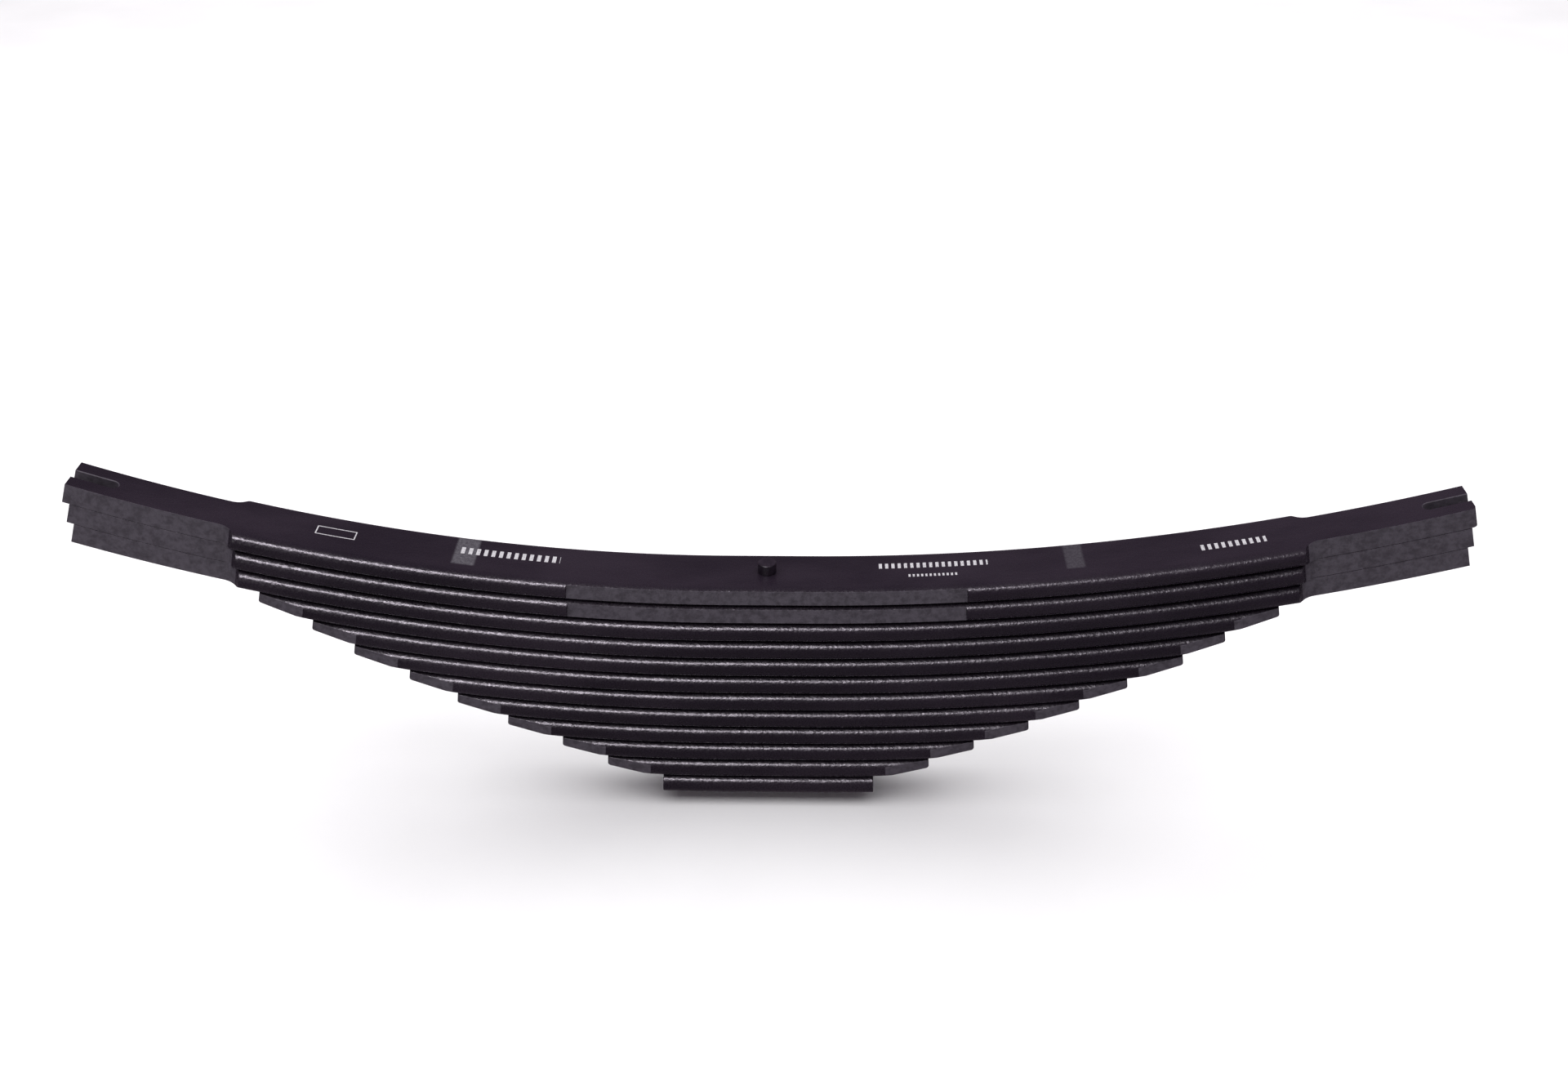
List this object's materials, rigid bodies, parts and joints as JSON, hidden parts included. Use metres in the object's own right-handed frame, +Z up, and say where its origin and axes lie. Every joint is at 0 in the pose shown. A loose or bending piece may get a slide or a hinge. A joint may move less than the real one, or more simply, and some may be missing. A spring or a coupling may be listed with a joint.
{
  "type": "multi-leaf suspension spring",
  "caption": "Heavy truck leaf spring pack: nested flat slipper leaves of graduated length, upturned ends, milled long-leaf ends with open slots, held by a centre bolt and nut.",
  "frame": {"origin": "middle of the bottom leaf's underside, on the centre bolt's axis, where the pack sits on its saddle", "axes": "+X along the leaves, +Y across their width, +Z up the centre bolt towards the main leaf"},
  "size_m": [1.6339, 0.09, 0.4488],
  "materials": {
    "painted_leaf": "semi-gloss black paint on rolled spring steel, slightly orange-peeled, matte on the milled and sheared faces",
    "dark_fastener": "black semi-gloss fastener, painted over with the pack"
  },
  "bodies": {
    "clamped_base": {"bottom_leaf": "painted_leaf", "centre_bolt": "dark_fastener", "centre_nut": "dark_fastener"},
    "leaf_11": {"graduated_leaf_11": "painted_leaf"},
    "leaf_10": {"graduated_leaf_10": "painted_leaf"},
    "leaf_9": {"graduated_leaf_9": "painted_leaf"},
    "leaf_8": {"graduated_leaf_8": "painted_leaf"},
    "leaf_7": {"graduated_leaf_7": "painted_leaf"},
    "leaf_6": {"graduated_leaf_6": "painted_leaf"},
    "leaf_5": {"graduated_leaf_5": "painted_leaf"},
    "leaf_4": {"graduated_leaf_4": "painted_leaf"},
    "leaf_3": {"third_leaf": "painted_leaf"},
    "leaf_2": {"second_leaf": "painted_leaf"},
    "leaf_1": {"main_leaf": "painted_leaf"}
  },
  "joints": [
    {"name": "leaf_11_swivel", "type": "hinge", "parent": "clamped_base", "child": "leaf_11", "pos_m": [0, 0, 0.0381], "axis": [0, 0, 1], "range_deg": [-1, 1]},
    {"name": "leaf_10_swivel", "type": "hinge", "parent": "leaf_11", "child": "leaf_10", "pos_m": [0, 0, 0.0635], "axis": [0, 0, 1], "range_deg": [-1, 1]},
    {"name": "leaf_9_swivel", "type": "hinge", "parent": "leaf_10", "child": "leaf_9", "pos_m": [0, 0, 0.0889], "axis": [0, 0, 1], "range_deg": [-1, 1]},
    {"name": "leaf_8_swivel", "type": "hinge", "parent": "leaf_9", "child": "leaf_8", "pos_m": [0, 0, 0.1143], "axis": [0, 0, 1], "range_deg": [-1, 1]},
    {"name": "leaf_7_swivel", "type": "hinge", "parent": "leaf_8", "child": "leaf_7", "pos_m": [0, 0, 0.1397], "axis": [0, 0, 1], "range_deg": [-1, 1]},
    {"name": "leaf_6_swivel", "type": "hinge", "parent": "leaf_7", "child": "leaf_6", "pos_m": [0, 0, 0.1651], "axis": [0, 0, 1], "range_deg": [-1, 1]},
    {"name": "leaf_5_swivel", "type": "hinge", "parent": "leaf_6", "child": "leaf_5", "pos_m": [0, 0, 0.1905], "axis": [0, 0, 1], "range_deg": [-1, 1]},
    {"name": "leaf_4_swivel", "type": "hinge", "parent": "leaf_5", "child": "leaf_4", "pos_m": [0, 0, 0.2159], "axis": [0, 0, 1], "range_deg": [-1, 1]},
    {"name": "third_leaf_swivel", "type": "hinge", "parent": "leaf_4", "child": "leaf_3", "pos_m": [0, 0, 0.2413], "axis": [0, 0, 1], "range_deg": [-1, 1]},
    {"name": "second_leaf_swivel", "type": "hinge", "parent": "leaf_3", "child": "leaf_2", "pos_m": [0, 0, 0.2667], "axis": [0, 0, 1], "range_deg": [-1, 1]},
    {"name": "main_leaf_swivel", "type": "hinge", "parent": "leaf_2", "child": "leaf_1", "pos_m": [0, 0, 0.2921], "axis": [0, 0, 1], "range_deg": [-1, 1]}
  ]
}
